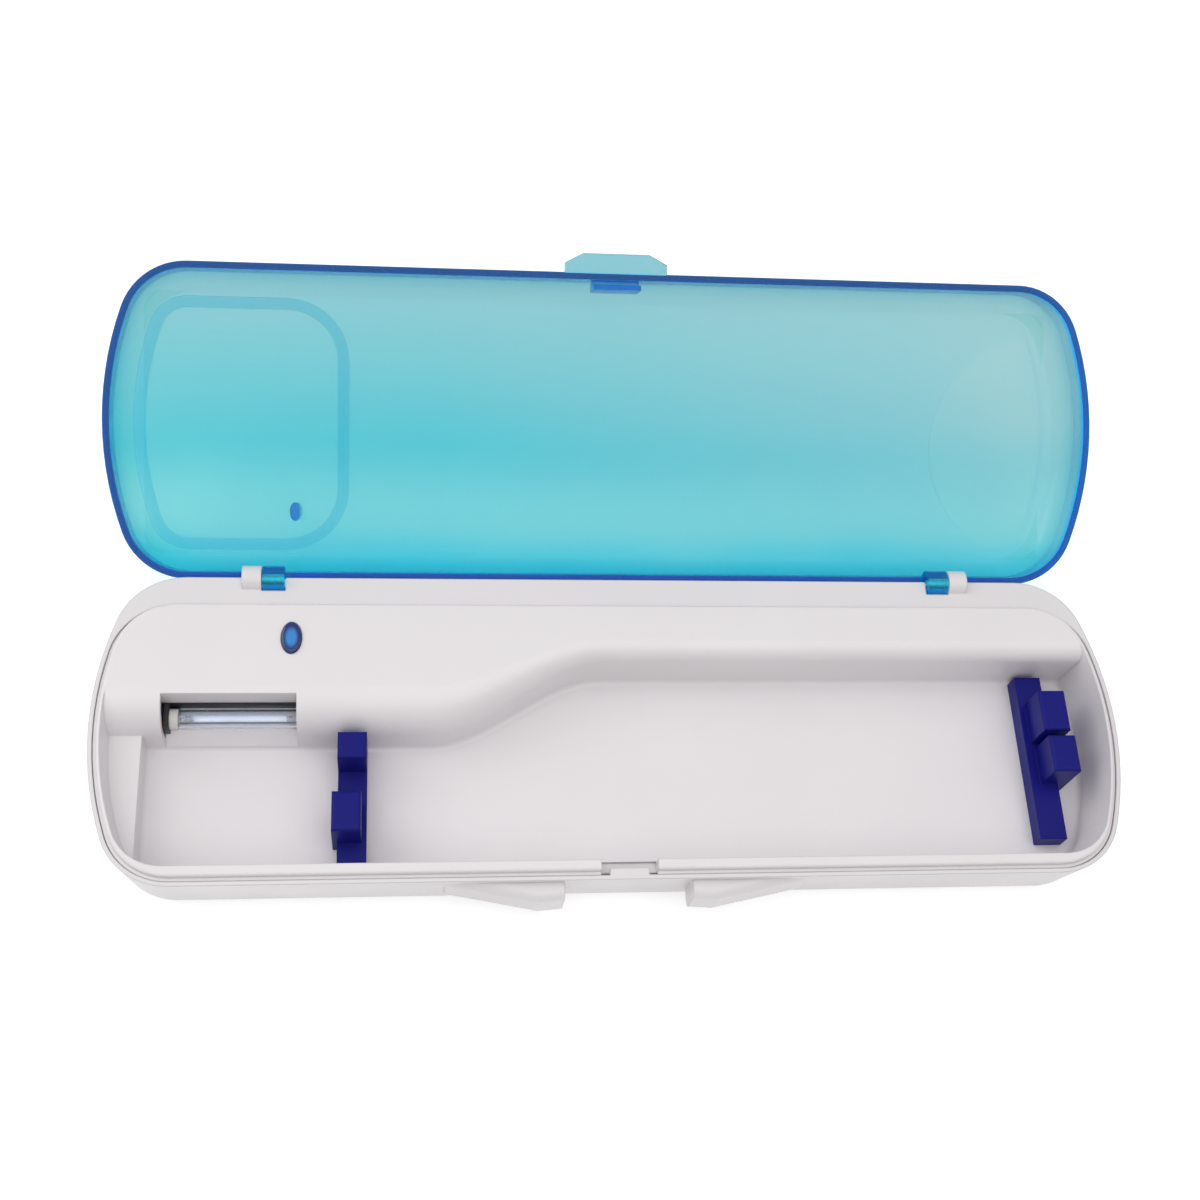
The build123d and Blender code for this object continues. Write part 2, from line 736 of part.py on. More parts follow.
# Lid, modelled closed
with BuildPart() as closed_lid:
    add(lid_shell(0, lid_bottom, lid_top, lid_round))
    add(lid_shell(lid_wall, lid_bottom - 1, lid_ceiling, lid_round - lid_wall), mode=Mode.SUBTRACT)

    # Bead on the ceiling round the lamp's end
    with BuildSketch(Plane.XY.offset(lid_ceiling)):
        add(bead_face(0))
        add(bead_face(bead_width), mode=Mode.SUBTRACT)
    extrude(amount=-bead_height)

    # Shallow round dish in the ceiling at the other end
    with BuildSketch(Plane.XY.offset(lid_ceiling)):
        add(case_outline(lid_round + dish_margin))
        with Locations((dish_centre_x, dish_centre_y)):
            Circle(dish_radius, mode=Mode.INTERSECT)
    extrude(amount=dish_depth, mode=Mode.SUBTRACT)

    # Post that presses the button
    with BuildSketch(Plane.XY.offset(lid_ceiling)):
        with Locations((button_x, button_y)):
            Ellipse(post_width / 2, post_length / 2)
    extrude(amount=deck_top + button_rise + post_gap - lid_ceiling)

    # Thumb tab
    with BuildSketch(Plane.XY.offset(lid_bottom)):
        with BuildLine():
            Polyline(
                (-tab_width / 2, -half_width + lid_wall / 2),
                (-tab_width / 2, -half_width - tab_reach / 2),
                (-tab_tip_width / 2, -half_width - tab_reach),
                (tab_tip_width / 2, -half_width - tab_reach),
                (tab_width / 2, -half_width - tab_reach / 2),
                (tab_width / 2, -half_width + lid_wall / 2),
                close=True,
            )
        make_face()
    extrude(amount=tab_thickness)

    # Latch hook, hung from a bridge on the front wall's inner face
    hook_rear_y = -half_width + rim_strip + hook_setback - catch_gap
    bridge_low = (-hook_width / 2, -half_width + lid_wall / 2, deck_top + lid_gap)
    bridge_high = (hook_width / 2, hook_rear_y, deck_top + lid_gap + hook_bridge)
    hook_low = (-hook_width / 2, hook_rear_y - hook_thickness, parting - hook_drop)
    hook_high = (hook_width / 2, hook_rear_y, deck_top + lid_gap + hook_bridge)
    span(bridge_low, bridge_high)
    span(hook_low, hook_high)

    # Small notch in the middle of the rear rim
    rear_notch_low = (-rear_notch_width / 2, half_width - 2 * lid_wall, lid_bottom)
    rear_notch_high = (rear_notch_width / 2, half_width, lid_bottom + rear_notch_height)
    span(rear_notch_low, rear_notch_high, mode=Mode.SUBTRACT)

    # Hinge barrels, and notches that clear the base's knuckles
    for side in (-1, 1):
        barrel_x = side_start(side, barrel_near_x, barrel_length)
        notch_length = knuckle_length + 2 * hinge_gap
        notch_x = side_start(side, knuckle_near_x - hinge_gap, notch_length)
        rod(notch_x, hinge_y, hinge_z, barrel_room, notch_length, mode=Mode.SUBTRACT)
        rod(barrel_x, hinge_y, hinge_z, knuckle_radius, barrel_length)
        rod(barrel_x, hinge_y, hinge_z, bore_radius, barrel_length, mode=Mode.SUBTRACT)

# The lid is turned open about the hinge axis, as far as it goes
hinge_axis = Axis((0, hinge_y, hinge_z), (1, 0, 0))
write(closed_lid.part.rotate(hinge_axis, -open_angle), "lid")

# Hinge pins
with BuildPart() as hinge_pins:
    for side in (-1, 1):
        pin_x = side_start(side, barrel_near_x + fit_gap, pin_length)
        rod(pin_x, hinge_y, hinge_z, pin_radius, pin_length)
write(hinge_pins.part, "hinge_pins")

# Interlock button: oval cap, flange under the deck, stem over the switch
stem_end = plunger_top + button_travel
flange_top = deck_under - pin_clearance
with BuildPart() as interlock_button:
    with BuildSketch(Plane.XY.offset(flange_top)):
        with Locations((button_x, button_y)):
            Ellipse(button_width / 2, button_length / 2)
    extrude(amount=deck_top + button_rise - flange_top)
    fillet(interlock_button.faces().sort_by(Axis.Z)[-1].edges(), button_round)
    with BuildSketch(Plane.XY.offset(flange_top)):
        with Locations((button_x, button_y)):
            Ellipse(button_width / 2 + button_flange_rim, button_length / 2 + button_flange_rim)
    extrude(amount=-button_flange)
    with BuildSketch(Plane.XY.offset(flange_top - button_flange)):
        with Locations((button_x, button_y)):
            Circle(button_stem_radius)
    extrude(amount=stem_end - flange_top + button_flange)
write(interlock_button.part, "interlock_button")


def coil(start, direction, radius, wire, length, turns):
    """Compression spring from start along direction, with its wire inside its length."""
    rise = length - wire
    with BuildPart() as spring:
        with BuildLine():
            foot = start + direction * (wire / 2)
            turn_line = Helix(rise / turns, rise, radius, center=foot, direction=direction)
        with BuildSketch(Plane(turn_line @ 0, z_dir=turn_line % 0)):
            Circle(wire / 2)
        sweep()
    print("coil gap to itself", round(rise / turns - wire, 2), "mm")
    return spring.part


spring_seat = Vector(button_x, button_y, board_top + switch_height)
spring_length = flange_top - button_flange - board_top - switch_height
button_coil = coil(spring_seat, Vector(0, 0, 1), spring_radius, spring_wire, spring_length, spring_turns)
write(button_coil, "button_spring")

# Switch under the button
with BuildPart() as tact_switch:
    with BuildSketch(Plane.XY.offset(board_top)):
        with Locations((button_x, button_y)):
            Rectangle(switch_size, switch_size)
    extrude(amount=switch_height)
    chamfer(tact_switch.edges().filter_by(Axis.Z), switch_chamfer)
    with BuildSketch(Plane.XY.offset(board_top + switch_height)):
        with Locations((button_x, button_y)):
            Circle(plunger_radius + pin_clearance)
    extrude(amount=-plunger_sunk - plunger_travel, mode=Mode.SUBTRACT)
write(tact_switch.part, "tact_switch")
with BuildPart() as tact_plunger:
    with BuildSketch(Plane.XY.offset(plunger_top)):
        with Locations((button_x, button_y)):
            Circle(plunger_radius)
    extrude(amount=-plunger_height - plunger_sunk)
write(tact_plunger.part, "tact_plunger")

# Lamp, its end caps, reflector and black frame
lamp_left_x = window_left_x + fit_gap + frame_wall
lamp_right_x = window_right_x + lamp_cap_length + lamp_end_gap
with BuildPart() as uv_lamp:
    lamp_length = lamp_right_x - lamp_left_x - 2 * lamp_end_gap
    rod(lamp_left_x + lamp_end_gap, lamp_y, lamp_z, lamp_radius, lamp_length)
write(uv_lamp.part, "uv_lamp")

with BuildPart() as lamp_end_caps:
    for cap_x in (lamp_left_x, lamp_right_x - lamp_cap_length):
        rod(cap_x, lamp_y, lamp_z, lamp_cap_radius, lamp_cap_length)
    add(uv_lamp.part, mode=Mode.SUBTRACT)
write(lamp_end_caps.part, "lamp_end_caps")

reflector_outer = reflector_radius + reflector_thickness
with BuildPart() as lamp_reflector:
    with BuildSketch(Plane.YZ.offset(lamp_left_x + lamp_cap_length + fit_gap)):
        with Locations((lamp_y, lamp_z)):
            Circle(reflector_outer)
            Circle(reflector_radius, mode=Mode.SUBTRACT)
        with Locations((lamp_y - case_width / 2, lamp_z)):
            Rectangle(case_width, case_width, mode=Mode.SUBTRACT)
        with Locations((lamp_y, lamp_z + case_width / 2)):
            Rectangle(case_width, case_width, mode=Mode.SUBTRACT)
    extrude(amount=lamp_right_x - lamp_left_x - 2 * lamp_cap_length - 2 * fit_gap)
write(lamp_reflector.part, "lamp_reflector")

frame_floor = lamp_z - reflector_outer
frame_rear_y = window_rear_y - fit_gap
frame_top = brow_bottom - fit_gap
with BuildPart() as lamp_frame:
    frame_low = (lamp_left_x - frame_wall, -case_width, frame_floor - frame_wall)
    frame_high = (lamp_right_x + frame_wall, frame_rear_y + frame_wall, frame_top)
    span(frame_low, frame_high)
    room_low = (lamp_left_x, -case_width, frame_floor)
    room_high = (lamp_right_x, frame_rear_y, case_width)
    span(room_low, room_high, mode=Mode.SUBTRACT)
    sill_room_low = (-case_length, -case_width, 0)
    sill_room_high = (case_length, sill_rear_y + fit_gap, sill_top + fit_gap)
    span(sill_room_low, sill_room_high, mode=Mode.SUBTRACT)
    add(deck_block(tray_wall + fit_gap), mode=Mode.INTERSECT)
write(lamp_frame.part, "lamp_frame")

# Driver board and what stands on it
with BuildPart() as circuit_board:
    span((board_left_x, board_front_y, board_under), (board_right_x, board_rear_y, board_top))
    with BuildSketch(Plane.XY.offset(board_top)):
        with Locations(*board_holes):
            Circle(board_screw_radius + fit_gap)
    extrude(amount=-board_thickness, mode=Mode.SUBTRACT)
write(circuit_board.part, "circuit_board")

with BuildPart() as board_screws:
    with BuildSketch(Plane.XY.offset(board_top)):
        with Locations(*board_holes):
            Circle(board_screw_head_radius)
    extrude(amount=board_screw_head)
    with BuildSketch(Plane.XY.offset(board_top)):
        with Locations(*board_holes):
            Circle(board_screw_radius)
    extrude(amount=-board_screw_length)
write(board_screws.part, "board_screws")

with BuildPart() as transformer_core:
    core_low = (core_x - core_length / 2, core_y - core_width / 2, board_top)
    core_high = (core_x + core_length / 2, core_y + core_width / 2, board_top + core_height)
    span(core_low, core_high)
    for side in (-1, 1):
        window_x = core_x + side * (core_length / 4 - core_bar / 8)
        slot_half = (core_length - 3 * core_bar) / 4
        slot_low = (window_x - slot_half, core_y - core_width, board_top + core_bar)
        slot_high = (window_x + slot_half, core_y + core_width, board_top + core_height - core_bar)
        span(slot_low, slot_high, mode=Mode.SUBTRACT)
write(transformer_core.part, "transformer_core")

with BuildPart() as transformer_coil:
    coil_x = core_length / 2 - core_bar - winding_gap
    coil_y = core_width / 2 + winding_overhang
    coil_z = board_top + core_height / 2
    coil_half = core_height / 2 - core_bar + winding_bulge
    coil_low = (core_x - coil_x, core_y - coil_y, coil_z - coil_half)
    coil_high = (core_x + coil_x, core_y + coil_y, coil_z + coil_half)
    span(coil_low, coil_high)
    add(transformer_core.part, mode=Mode.SUBTRACT)
write(transformer_coil.part, "transformer_coil")

with BuildPart() as board_capacitor:
    capacitor_left_x = capacitor_x - capacitor_length / 2
    capacitor_z = board_top + capacitor_radius
    rod(capacitor_left_x, core_y, capacitor_z, capacitor_radius, capacitor_length)
    fillet(board_capacitor.faces().filter_by(Axis.X).edges(), capacitor_round)
write(board_capacitor.part, "board_capacitor")

with BuildPart() as driver_chip:
    chip_low = (chip_x - chip_length / 2, chip_y - chip_width / 2, board_top)
    chip_high = (chip_x + chip_length / 2, chip_y + chip_width / 2, board_top + chip_height)
    span(chip_low, chip_high)
write(driver_chip.part, "driver_chip")

# Two cells in line, nubs to the right
for name, cell_x in (("cell_left", cell_left_x), ("cell_right", cell_left_x + cell_pitch)):
    with BuildPart() as cell:
        rod(cell_x, cell_y, cell_z, cell_radius, cell_body)
        fillet(cell.faces().filter_by(Axis.X).edges(), cell_round)
        rod(cell_x + cell_body, cell_y, cell_z, cell_nub_radius, cell_nub)
    write(cell.part, name)

# Contacts
spring_plate_x = cell_left_x - contact_gap - contact_spring_length
with BuildPart() as contact_plates:
    for plate_x in (spring_plate_x - contact_thickness, cell_right_x + contact_gap):
        half_contact = (contact_thickness / 2, contact_width / 2, contact_height / 2)
        plate_centre = (plate_x + contact_thickness / 2, cell_y, cell_z)
        plate_low = [plate_centre[i] - half_contact[i] for i in range(3)]
        plate_high = [plate_centre[i] + half_contact[i] for i in range(3)]
        span(plate_low, plate_high)
write(contact_plates.part, "contact_plates")
contact_coil = coil(
    Vector(spring_plate_x, cell_y, cell_z),
    Vector(1, 0, 0),
    contact_spring_radius,
    contact_spring_wire,
    contact_spring_length,
    contact_spring_turns,
)
write(contact_coil, "contact_spring")


def lead(points, bends):
    """Insulated wire through the points, rounded at each corner."""
    with BuildPart() as wire:
        with BuildLine():
            route = FilletPolyline(*points, radius=bends)
        with BuildSketch(Plane(route @ 0, z_dir=route % 0)):
            Circle(lead_radius)
        sweep()
    return wire.part


# Leads from the contacts and from the lamp to the board
lead_level = deck_under - 2 * lead_radius
right_end_x = cell_right_x + contact_gap + contact_thickness + lead_radius
left_end_x = spring_plate_x - contact_thickness - lead_radius
board_end_x = board_right_x - lead_inset
with BuildPart() as battery_leads:
    for end_x, offset, level in (
        (right_end_x, lead_offsets[0], lead_level),
        (left_end_x, lead_offsets[1], lead_level - lead_spacing),
    ):
        add(lead([
            (end_x, cell_y - offset, cell_z),
            (end_x, cell_y - offset, level),
            (board_end_x, cell_y - offset, level),
            (board_end_x, cell_y - offset, board_top),
        ], lead_bend))
write(battery_leads.part, "battery_leads")
with BuildPart() as lamp_leads:
    for lamp_lead_x in (window_left_x + lamp_lead_insets[0], window_right_x - lamp_lead_insets[1]):
        add(lead([
            (lamp_lead_x, frame_rear_y + frame_wall, lamp_z),
            (lamp_lead_x, board_front_y + lead_spacing, lamp_z),
            (lamp_lead_x, board_front_y + lead_spacing, board_top),
        ], lead_bend))
write(lamp_leads.part, "lamp_leads")
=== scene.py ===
import bpy
import bmesh
import json
import math
from mathutils import Matrix, Vector


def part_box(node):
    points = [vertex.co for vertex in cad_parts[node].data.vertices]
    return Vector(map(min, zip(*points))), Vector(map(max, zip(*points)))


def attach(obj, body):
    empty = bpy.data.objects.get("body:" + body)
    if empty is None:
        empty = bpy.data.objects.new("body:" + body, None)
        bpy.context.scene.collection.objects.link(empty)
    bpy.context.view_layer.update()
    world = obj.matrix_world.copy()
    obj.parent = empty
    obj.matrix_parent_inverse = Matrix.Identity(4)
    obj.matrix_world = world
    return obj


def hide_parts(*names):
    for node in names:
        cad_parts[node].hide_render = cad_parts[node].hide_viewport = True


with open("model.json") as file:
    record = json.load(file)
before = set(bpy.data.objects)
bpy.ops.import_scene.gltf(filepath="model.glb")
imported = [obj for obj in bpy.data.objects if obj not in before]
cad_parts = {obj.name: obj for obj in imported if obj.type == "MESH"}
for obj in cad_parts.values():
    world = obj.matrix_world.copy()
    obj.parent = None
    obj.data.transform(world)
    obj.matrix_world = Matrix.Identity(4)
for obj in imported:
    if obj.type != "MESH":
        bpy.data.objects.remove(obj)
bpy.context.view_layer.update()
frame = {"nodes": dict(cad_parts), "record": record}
nodes = frame["nodes"]
print("frame loaded:", len(nodes), "nodes")


def makeGroup(name, inputs, outputs):
    group = bpy.data.node_groups.new(name, "ShaderNodeTree")
    for label, kind, value in inputs:
        socket = group.interface.new_socket(label, in_out="INPUT", socket_type=kind)
        socket.default_value = value
    for label, kind in outputs:
        group.interface.new_socket(label, in_out="OUTPUT", socket_type=kind)
    return group, group.nodes.new("NodeGroupInput"), group.nodes.new("NodeGroupOutput")


def setValues(node, values):
    for key, value in values.items():
        node.inputs[key].default_value = value


def addNode(tree, kind, values=None, **settings):
    node = tree.nodes.new(kind)
    for key, value in settings.items():
        setattr(node, key, value)
    setValues(node, values or {})
    return node


# an output is linked, a plain value is set
def feed(tree, value, target):
    if isinstance(value, bpy.types.NodeSocket):
        tree.links.new(value, target)
    else:
        target.default_value = value


def objectNoise(tree, look):
    place = addNode(tree, "ShaderNodeTexCoord")
    mapping = addNode(tree, "ShaderNodeMapping", {"Scale": look.get("stretch", (1, 1, 1))})
    noise = addNode(tree, "ShaderNodeTexNoise",
                    {"Detail": look["detail"], "Roughness": look["roughness"]})
    tree.links.new(place.outputs["Object"], mapping.inputs["Vector"])
    tree.links.new(mapping.outputs["Vector"], noise.inputs["Vector"])
    feed(tree, look["scale"], noise.inputs["Scale"])
    return noise.outputs["Fac"]


def mathNode(tree, operation, a, b=None, clamp=False):
    node = addNode(tree, "ShaderNodeMath", operation=operation, use_clamp=clamp)
    feed(tree, a, node.inputs[0])
    if b is not None:
        feed(tree, b, node.inputs[1])
    return node.outputs[0]


def mapRange(tree, value, low, high, toLow, toHigh, smooth=False):
    node = addNode(tree, "ShaderNodeMapRange",
                   interpolation_type="SMOOTHSTEP" if smooth else "LINEAR")
    tree.links.new(value, node.inputs["Value"])
    for key, given in zip(("From Min", "From Max", "To Min", "To Max"), (low, high, toLow, toHigh)):
        feed(tree, given, node.inputs[key])
    return node.outputs["Result"]


# noise spread over a range, as a mask or a value
def noiseBand(tree, look):
    noise = objectNoise(tree, look)
    return mapRange(tree, noise, *look["from"], *look["to"], look.get("smooth", False))


mixInputs = (0, 6, 7)  # factor and the two colours of a Mix node
mixResult = 2


def mixColour(tree, factor, a, b, blend="MIX"):
    node = addNode(tree, "ShaderNodeMix", data_type="RGBA", blend_type=blend)
    for index, value in zip(mixInputs, (factor, a, b)):
        feed(tree, (*value, 1) if isinstance(value, tuple) else value, node.inputs[index])
    return node.outputs[mixResult]


# clouds and flow shade the colour, scuffs dull the gloss, grain is the spark-eroded skin
skinLook = {
    "clouds": {"scale": 38.0, "detail": 3.0, "roughness": 0.5,
               "from": (0.25, 0.75), "to": (0.0, 1.0), "smooth": True},
    "flow": {"scale": 16.0, "detail": 1.0, "roughness": 0.4, "stretch": (0.35, 1.6, 1),
             "from": (0.3, 0.75), "to": (0.0, 0.5), "smooth": True},
    "shadeShare": 0.55,
    "scuffs": {"scale": 620.0, "detail": 6.0, "roughness": 0.72, "stretch": (0.18, 1, 1),
               "from": (0.6, 0.9), "to": (0.0, 1.0), "smooth": True},
    "scuffDulling": 0.25,
    "grain": {"detail": 2.0, "roughness": 0.6},
}


def buildMouldedSkin():
    look = skinLook
    group, start, end = makeGroup(
        "Moulded skin",
        [("Colour", "NodeSocketColor", (0.8, 0.8, 0.8, 1)),
         ("Shade", "NodeSocketColor", (0.7, 0.7, 0.7, 1)),
         ("Grain Scale", "NodeSocketFloat", 4000.0),
         ("Gloss Low", "NodeSocketFloat", 0.25),
         ("Gloss High", "NodeSocketFloat", 0.4),
         ("Scuffs", "NodeSocketFloat", 0.3)],
        [("Colour", "NodeSocketColor"), ("Roughness", "NodeSocketFloat"),
         ("Height", "NodeSocketFloat")],
    )
    clouds = noiseBand(group, look["clouds"])
    flow = noiseBand(group, look["flow"])
    shading = mathNode(group, "ADD", clouds, flow)
    shading = mathNode(group, "MULTIPLY", shading, look["shadeShare"], True)
    colour = mixColour(group, shading, start.outputs["Colour"], start.outputs["Shade"])
    scuffs = mathNode(group, "MULTIPLY", noiseBand(group, look["scuffs"]), start.outputs["Scuffs"])
    dulling = mathNode(group, "MULTIPLY", scuffs, look["scuffDulling"])
    gloss = mapRange(group, clouds, 0.0, 1.0,
                     start.outputs["Gloss Low"], start.outputs["Gloss High"])
    gloss = mathNode(group, "ADD", gloss, dulling, True)
    grain = objectNoise(group, {**look["grain"], "scale": start.outputs["Grain Scale"]})
    group.links.new(colour, end.inputs["Colour"])
    group.links.new(gloss, end.inputs["Roughness"])
    group.links.new(grain, end.inputs["Height"])
    return group


# an edge is where the rounded normal turns away from the flat one, broken up by noise
rubLook = {
    "samples": 4,
    "turned": (0.985, 0.8),
    "broken": {"scale": 420.0, "detail": 4.0, "roughness": 0.65,
               "from": (0.42, 0.66), "to": (0.15, 1.0)},
}


def buildRubbedEdges():
    look = rubLook
    group, start, end = makeGroup(
        "Rubbed edges",
        [("Width", "NodeSocketFloat", 0.0006), ("Amount", "NodeSocketFloat", 0.5)],
        [("Edge", "NodeSocketFloat"), ("Normal", "NodeSocketVector")],
    )
    rounded = addNode(group, "ShaderNodeBevel", samples=look["samples"])
    flat = addNode(group, "ShaderNodeNewGeometry")
    dot = addNode(group, "ShaderNodeVectorMath", operation="DOT_PRODUCT")
    group.links.new(start.outputs["Width"], rounded.inputs["Radius"])
    group.links.new(rounded.outputs["Normal"], dot.inputs[0])
    group.links.new(flat.outputs["Normal"], dot.inputs[1])
    turned = mapRange(group, dot.outputs["Value"], *look["turned"], 0.0, 1.0)
    edge = mathNode(group, "MULTIPLY", turned, noiseBand(group, look["broken"]))
    edge = mathNode(group, "MULTIPLY", edge, start.outputs["Amount"], True)
    group.links.new(edge, end.inputs["Edge"])
    group.links.new(rounded.outputs["Normal"], end.inputs["Normal"])
    return group


mouldedSkin = buildMouldedSkin()
rubbedEdges = buildRubbedEdges()


def newMaterial(name):
    material = bpy.data.materials.new(name)
    material.use_nodes = True
    tree = material.node_tree
    return material, tree, tree.nodes["Principled BSDF"]


def addBump(tree, shader, height, strength, depth, normal=None):
    bump = addNode(tree, "ShaderNodeBump", {"Strength": strength, "Distance": depth})
    tree.links.new(height, bump.inputs["Height"])
    if normal is not None:
        tree.links.new(normal, bump.inputs["Normal"])
    tree.links.new(bump.outputs["Normal"], shader.inputs["Normal"])


# the material is see-through where the mask is 1
def clearWhere(tree, shader, mask, colour):
    clear = addNode(tree, "ShaderNodeBsdfTransparent", {"Color": (*colour, 1)})
    mix = addNode(tree, "ShaderNodeMixShader")
    tree.links.new(mask, mix.inputs["Fac"])
    tree.links.new(shader.outputs["BSDF"], mix.inputs[1])
    tree.links.new(clear.outputs["BSDF"], mix.inputs[2])
    tree.links.new(mix.outputs["Shader"], tree.nodes["Material Output"].inputs["Surface"])


# mask of the painted shade ring on the button: 0 inside an oval, 1 towards its edge
def paintedShadeRing(tree, ring):
    place = addNode(tree, "ShaderNodeTexCoord")
    shift = addNode(tree, "ShaderNodeVectorMath", {1: ring["centre"]}, operation="SUBTRACT")
    squash = addNode(tree, "ShaderNodeVectorMath", {1: ring["reach"]}, operation="DIVIDE")
    size = addNode(tree, "ShaderNodeVectorMath", operation="LENGTH")
    tree.links.new(place.outputs["Object"], shift.inputs[0])
    tree.links.new(shift.outputs["Vector"], squash.inputs[0])
    tree.links.new(squash.outputs["Vector"], size.inputs[0])
    return mapRange(tree, size.outputs["Value"], ring["from"], ring["to"], 0.0, 1.0, True)


plasticLook = {"grainDepth": 0.00006, "shine": 0.5, "coat": 0.0, "coatRoughness": 0.12}


# a moulded plastic: the skin, rubbed edges and, on the button, a darker ring of painted shade
def plasticMaterial(name, given):
    look = {**plasticLook, **given}
    material, tree, shader = newMaterial(name)
    skin = addNode(tree, "ShaderNodeGroup", {
        "Colour": (*look["colour"], 1), "Shade": (*look["shade"], 1), "Grain Scale": look["grain"],
        "Gloss Low": look["gloss"][0], "Gloss High": look["gloss"][1], "Scuffs": look["scuffs"],
    }, node_tree=mouldedSkin)
    rub = addNode(tree, "ShaderNodeGroup", {"Width": look["edge"], "Amount": look["rub"]},
                  node_tree=rubbedEdges)
    colour = mixColour(tree, rub.outputs["Edge"], skin.outputs["Colour"], look["rubbed"])
    if "ring" in look:
        colour = mixColour(tree, paintedShadeRing(tree, look["ring"]), colour, look["ring"]["colour"])
    tree.links.new(colour, shader.inputs["Base Color"])
    tree.links.new(skin.outputs["Roughness"], shader.inputs["Roughness"])
    addBump(tree, shader, skin.outputs["Height"], look["depth"], look["grainDepth"],
            rub.outputs["Normal"])
    setValues(shader, {"Specular IOR Level": look["shine"], "Coat Weight": look["coat"],
                       "Coat Roughness": look["coatRoughness"]})
    return material


metalLook = {
    "brushing": {"detail": 4.0, "roughness": 0.6},
    "brushFrom": (0.3, 0.7),
    "brushStrength": 0.25,
    "brushDepth": 0.00004,
    "tarnish": {"scale": 120.0, "detail": 5.0, "roughness": 0.6,
                "from": (0.4, 0.72), "to": (0.0, 0.65)},
    "edge": 0.0002,
    "rub": 0.6,
}


# a metal: stretched brushing, tarnish clouds and bright edges
def metalMaterial(name, given):
    look = {**metalLook, **given}
    material, tree, shader = newMaterial(name)
    brushing = objectNoise(tree, {**look["brushing"], "scale": look["brush"],
                                  "stretch": look["stretch"]})
    rub = addNode(tree, "ShaderNodeGroup", {"Width": look["edge"], "Amount": look["rub"]},
                  node_tree=rubbedEdges)
    colour = mixColour(tree, noiseBand(tree, look["tarnish"]), look["colour"], look["shade"])
    colour = mixColour(tree, rub.outputs["Edge"], colour, look["rubbed"])
    rough = mapRange(tree, brushing, *look["brushFrom"], *look["gloss"])
    tree.links.new(colour, shader.inputs["Base Color"])
    tree.links.new(rough, shader.inputs["Roughness"])
    addBump(tree, shader, brushing, look["brushStrength"], look["brushDepth"],
            rub.outputs["Normal"])
    setValues(shader, {"Metallic": 1.0})
    return material


# Distances in the lid as it stands open: along its wall from the hinge to the front edge,
# above its rim, and across from left to right.
aquaLid = {
    "alongWall": (0.0, 0.8746, 0.4848),
    "alongWallStart": 0.04254,
    "aboveRim": (0.0, 0.4848, -0.8746),
    "aboveRimStart": -0.00043,
    "unevenness": {"scale": 22.0, "detail": 1.0, "roughness": 0.4,
                   "from": (0.25, 0.75), "to": (-0.002, 0.002)},
    # painted shade near the hinge, then painted bands of light and shade towards the front
    "paintedHingeShade": (0.13, 0.70, 0.61),
    "paintedBands": [
        {"tint": (0.52, 0.77, 0.60), "along": (0.002, 0.014), "smooth": True},
        {"tint": (0.25, 0.67, 0.56), "along": (0.016, 0.034), "smooth": True},
        {"tint": (0.60, 0.64, 0.54), "along": (0.034, 0.070), "smooth": False},
    ],
    # painted light: the tint pales towards the right
    "right": {"tint": (0.79, 0.68, 0.55), "across": (-0.04, 0.10), "most": 0.75,
              "along": (0.008, 0.04), "least": 0.1},
    "middle": {"along": (0.0055, 0.0685), "reach": 0.100},
    # painted light: the post gets a greener tint than the lid around it
    "post": {"tint": (0.12, 1.0, 0.45), "top": 0.0125},
    # painted shade: the bead of the raised ring is darkened
    "bead": {"shade": (0.76, 0.94, 0.91), "top": 0.0145, "reach": 0.1122},
    # painted: a deeper blue on the rim for the long light path seen edge-on
    "rim": {"tint": (0.01, 0.58, 1.0), "above": (0.0018, 0.0044),
            "frontWall": 0.0738, "fade": 0.0003},
    # painted light: a brighter aqua on the hinge barrels
    "barrel": {"tint": (0.04, 1.0, 0.85), "span": (0.0770, 0.0840), "along": 0.0036,
               "above": 0.0022},
    "frost": {"scale": 90.0, "detail": 1.5, "roughness": 0.5,
              "from": (0.25, 0.75), "to": (0.20, 0.25)},
    "grain": {"scale": 2600.0, "detail": 3.0, "roughness": 0.6},
    "grainStrength": 0.03,
    "grainDepth": 0.00005,
    "ior": 1.33,
    "transmission": 0.9,
    "absorb": (0.0, 0.75, 1.0),
    "density": 600.0,
    "shadowTint": (0.80, 0.91, 0.93),
}


def lidPlace(tree, direction, start):
    place = addNode(tree, "ShaderNodeTexCoord")
    dot = addNode(tree, "ShaderNodeVectorMath", {1: direction}, operation="DOT_PRODUCT")
    tree.links.new(place.outputs["Object"], dot.inputs[0])
    return mathNode(tree, "SUBTRACT", dot.outputs["Value"], start)


def over(tree, value, level):
    return mathNode(tree, "GREATER_THAN", value, level)


def under(tree, value, level):
    return mathNode(tree, "LESS_THAN", value, level)


def allOf(tree, mask, *others):
    for other in others:
        mask = mathNode(tree, "MULTIPLY", mask, other)
    return mask
